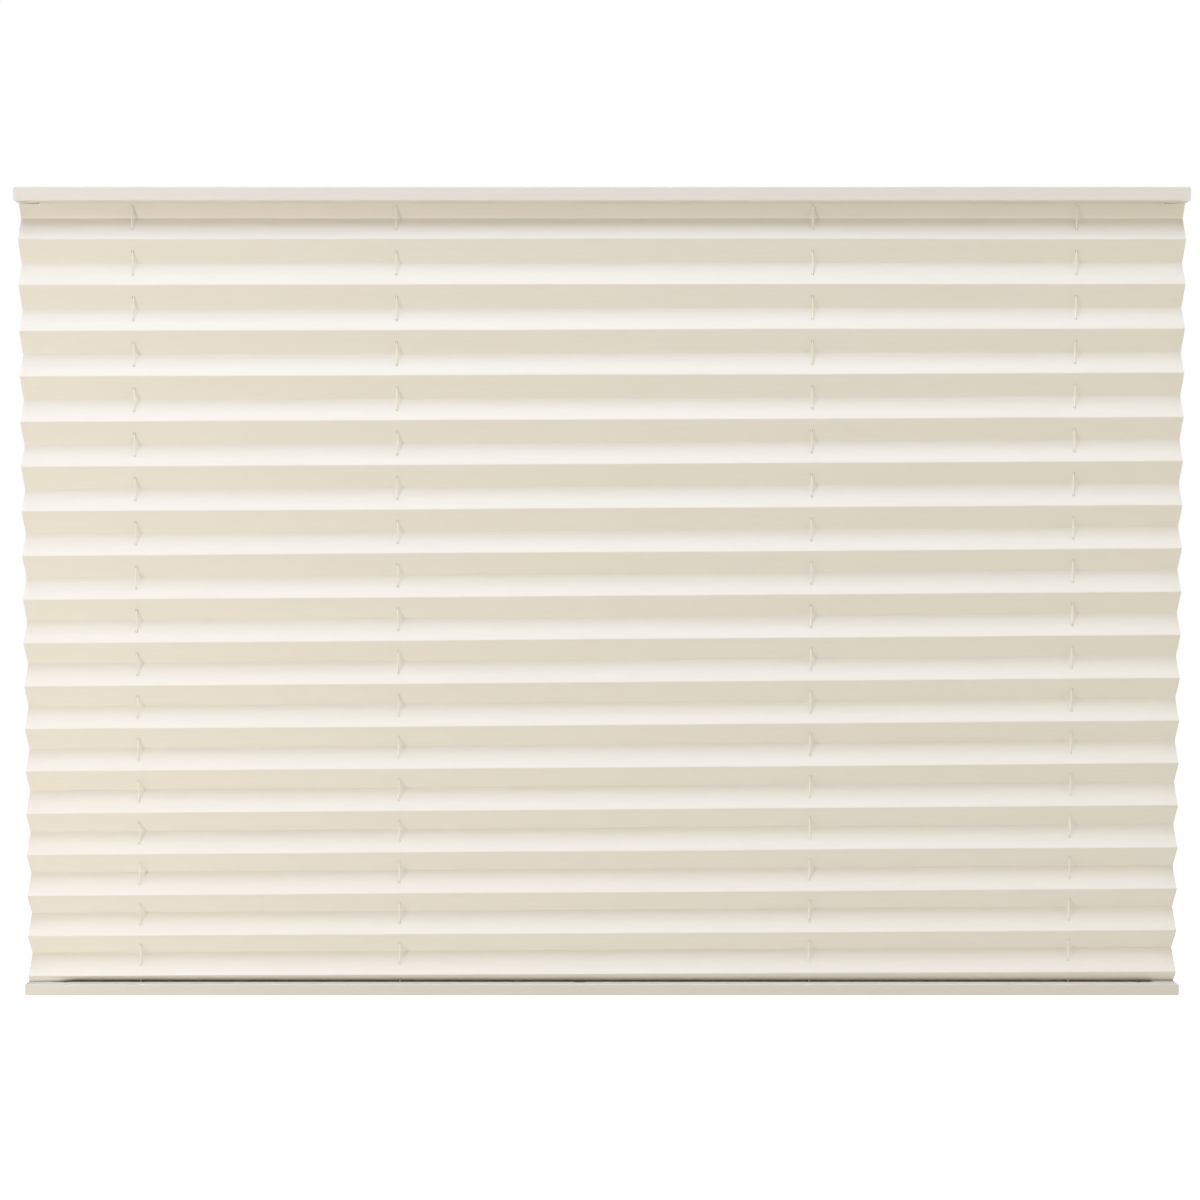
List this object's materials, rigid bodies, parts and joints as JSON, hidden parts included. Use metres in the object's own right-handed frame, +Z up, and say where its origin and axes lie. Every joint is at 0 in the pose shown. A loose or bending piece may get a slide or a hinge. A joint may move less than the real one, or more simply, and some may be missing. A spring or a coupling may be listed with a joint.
{
  "type": "pleated blind",
  "caption": "Pleated window blind: a folded cream cloth hangs from a slotted head rail and ends in a bottom rail that slides up along guide cords and stays where it is left.",
  "frame": {"origin": "middle of the head rail's top face, which lies against the lintel or ceiling", "axes": "+Z up out of the head rail's top face, +X along the rails to the right, the room side faces -Y"},
  "size_m": [1.3716, 0.032, 0.952],
  "materials": {
    "rail": "cream powder coat, satin",
    "end_cap": "moulded, fine grain",
    "strip": "extruded, plain",
    "ring": "moulded, smooth",
    "cloth": "pleated non-woven polyester with a fine crinkle",
    "cord": "braided polyester",
    "spring": "bright spring wire"
  },
  "bodies": {
    "head_assembly": {"head_rail": "rail", "head_strip": "strip", "head_end_cap_left": "end_cap", "head_end_cap_right": "end_cap", "tension_spring_left": "spring", "tension_spring_right": "spring", "head_eyelet_1": "ring", "head_eyelet_2": "ring", "head_eyelet_3": "ring", "head_eyelet_4": "ring", "guide_cord_1": "cord", "guide_cord_2": "cord", "guide_cord_3": "cord", "guide_cord_4": "cord", "pleated_fabric": "cloth"},
    "bottom_assembly": {"bottom_rail": "rail", "bottom_strip": "strip", "bottom_end_cap_left": "end_cap", "bottom_end_cap_right": "end_cap", "bottom_bush_1": "ring", "bottom_bush_2": "ring", "bottom_bush_3": "ring", "bottom_bush_4": "ring"}
  },
  "joints": [
    {"name": "bottom_rail_slide", "type": "slide", "parent": "head_assembly", "child": "bottom_assembly", "axis": [0, 0, 1], "range_m": [0, 0.866], "deforming": ["pleated_fabric"]}
  ]
}
